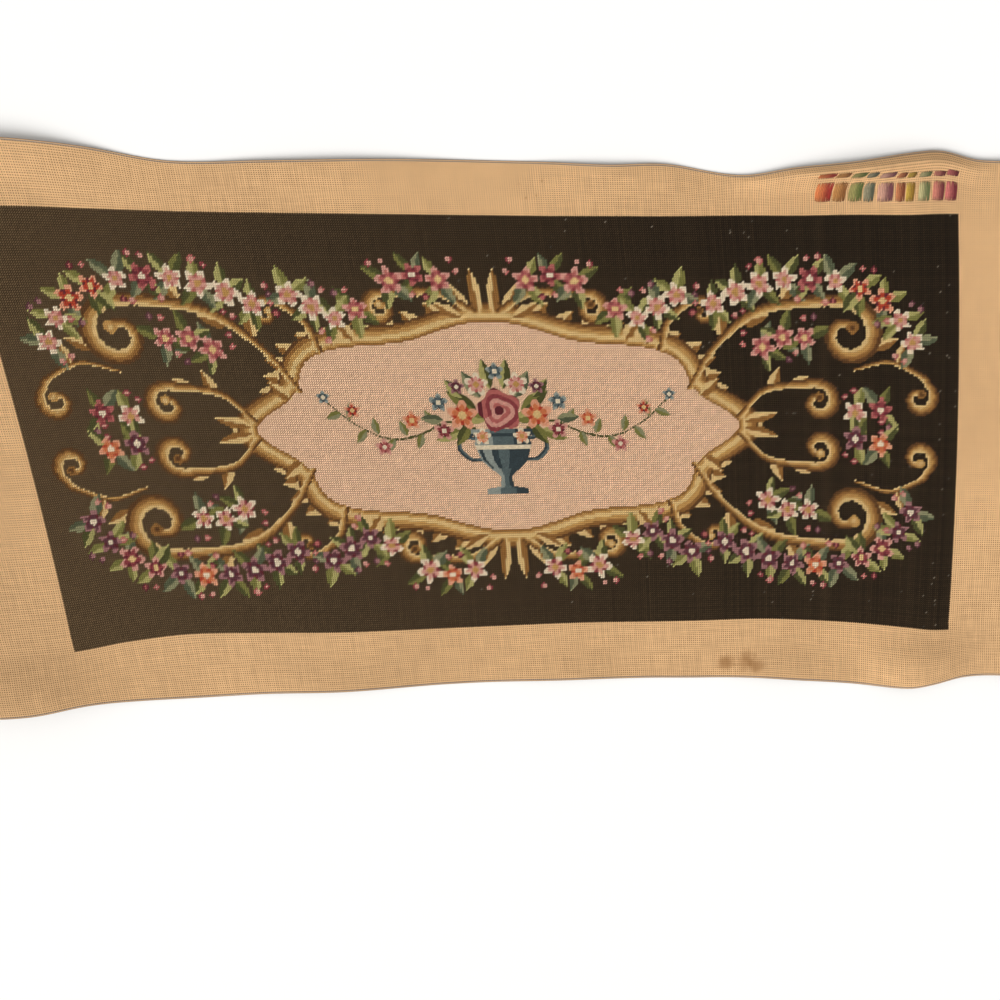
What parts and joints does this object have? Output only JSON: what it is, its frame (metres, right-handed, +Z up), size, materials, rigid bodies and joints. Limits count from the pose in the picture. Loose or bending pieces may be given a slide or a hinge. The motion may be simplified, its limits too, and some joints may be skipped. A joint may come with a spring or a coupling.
{
  "type": "needlepoint canvas panel",
  "caption": "Long rectangular wool needlepoint panel on bare-edged canvas, lying face up with lifted ends, for covering a bench seat.",
  "frame": {"origin": "on the table, under the middle of the panel's box", "axes": "+X along the length, +Y to the long edge with the shade key, +Z up from the table"},
  "size_m": [1.1522, 0.5376, 0.0273],
  "materials": {
    "canvas": "unbleached cotton, matt, open weave",
    "ground_wool": "tent stitch in matt wool, many shades",
    "red_wool": "long stitches in matt wool, a light and a dark shade",
    "tan_wool": "long stitches in matt wool, a light and a dark shade",
    "green_wool": "long stitches in matt wool, a light and a dark shade",
    "sage_wool": "long stitches in matt wool, a light and a dark shade",
    "plum_wool": "long stitches in matt wool, a light and a dark shade",
    "rust_wool": "long stitches in matt wool, a light and a dark shade",
    "ochre_wool": "long stitches in matt wool, a light and a dark shade",
    "moss_wool": "long stitches in matt wool, a light and a dark shade",
    "rose_wool": "long stitches in matt wool, a light and a dark shade",
    "claret_wool": "long stitches in matt wool, a light and a dark shade"
  },
  "bodies": {
    "root": {"canvas": "canvas", "wool_field": "ground_wool", "key_lower_red": "red_wool", "key_lower_tan": "tan_wool", "key_lower_green": "green_wool", "key_lower_sage": "sage_wool", "key_lower_plum": "plum_wool", "key_lower_rust": "rust_wool", "key_lower_ochre": "ochre_wool", "key_lower_moss": "moss_wool", "key_lower_rose": "rose_wool", "key_lower_claret": "claret_wool", "key_upper_red": "red_wool", "key_upper_tan": "tan_wool", "key_upper_green": "green_wool", "key_upper_sage": "sage_wool", "key_upper_plum": "plum_wool", "key_upper_rust": "rust_wool", "key_upper_ochre": "ochre_wool", "key_upper_moss": "moss_wool", "key_upper_rose": "rose_wool", "key_upper_claret": "claret_wool"}
  },
  "joints": []
}
